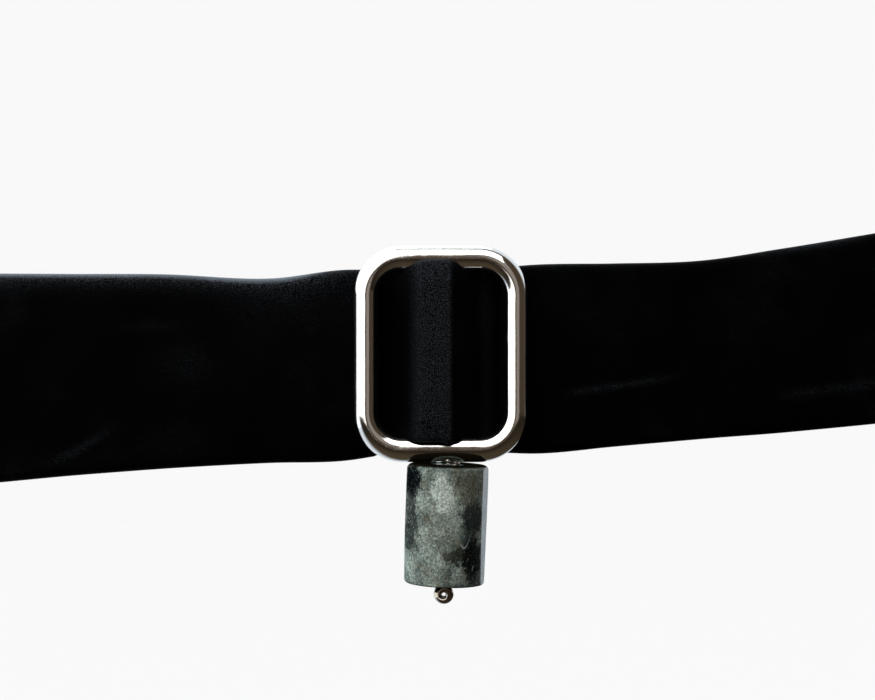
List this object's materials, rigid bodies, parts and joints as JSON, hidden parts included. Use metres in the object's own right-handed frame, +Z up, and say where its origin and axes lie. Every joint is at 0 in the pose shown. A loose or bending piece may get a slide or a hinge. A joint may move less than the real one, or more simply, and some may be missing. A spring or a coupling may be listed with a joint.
{
  "type": "bow_tie",
  "caption": "Neckband bow tie: flat black silk band over the centre bar of a polished slide frame, with a grey-green stone drop, hook, eye loop and strap adjuster.",
  "frame": {"origin": "centre of the neck opening at the band's mid-height, on the line the two halves slope from", "axes": "+Z up as worn, +X to the right seen from the front, -Y towards the viewer (the front face)"},
  "size_m": [0.2044, 0.0643, 0.0614],
  "materials": {
    "silk": "black plain-weave silk, low sheen",
    "thread": "black sewing thread",
    "wool": "undyed woollen interlining",
    "silver": "polished white metal with fine hairline scratches",
    "clasp_steel": "plated steel clasp, lightly worn",
    "stone": "polished grey-green feldspar stone with darker cleavage patches"
  },
  "bodies": {
    "band": {"front_sleeve": "silk", "front_interlining": "wool", "seam_stitches": "thread", "left_join_stitches": "thread", "right_join_stitches": "thread", "slide_frame": "silver", "centre_bar": "silver", "drop_bail": "silver"},
    "pin": {"drop_pin": "silver"},
    "stone": {"stone_drop": "stone"},
    "left_rear": {"left_strap": "silk", "hook_tack": "thread"},
    "hook_piece": {"hook": "clasp_steel"},
    "right_rear": {"right_strap": "silk", "strap_return": "silk"},
    "eye_piece": {"eye_loop": "clasp_steel"},
    "adjuster_piece": {"adjuster": "clasp_steel", "adjuster_tack": "thread"}
  },
  "joints": [
    {"name": "drop_swing", "type": "hinge", "parent": "band", "child": "pin", "pos_m": [0.0011, -0.0298, -0.0177], "axis": [1, 0, 0], "range_deg": [-12, 12]},
    {"name": "stone_spin", "type": "hinge", "parent": "pin", "child": "stone", "pos_m": [0.0011, -0.0298, -0.0177], "axis": [0.0332, 0, 0.9995], "continuous": true},
    {"name": "left_strap_flex", "type": "hinge", "parent": "band", "child": "left_rear", "pos_m": [-0.09993, 0, -0.00366], "axis": [-0.0366, 0, 0.9993], "range_deg": [-8, 70], "stiffness_Nm_per_rad": 0.001},
    {"name": "hook_swing", "type": "hinge", "parent": "left_rear", "child": "hook_piece", "pos_m": [-0.01999, 0.0247, -0.00073], "axis": [-0.0366, 0, 0.9993], "range_deg": [-60, 60]},
    {"name": "right_strap_flex", "type": "hinge", "parent": "band", "child": "right_rear", "pos_m": [0.09972, 0, 0.0075], "axis": [0.075, 0, -0.9972], "range_deg": [-8, 70], "stiffness_Nm_per_rad": 0.001},
    {"name": "eye_swing", "type": "hinge", "parent": "right_rear", "child": "eye_piece", "pos_m": [0.01596, 0.0247, 0.0012], "axis": [-0.075, 0, 0.9972], "range_deg": [-60, 60]},
    {"name": "adjuster_travel", "type": "slide", "parent": "right_rear", "child": "adjuster_piece", "axis": [0.9972, 0, 0.075], "range_m": [-0.004, 0.03], "deforming": ["strap_return"]}
  ]
}
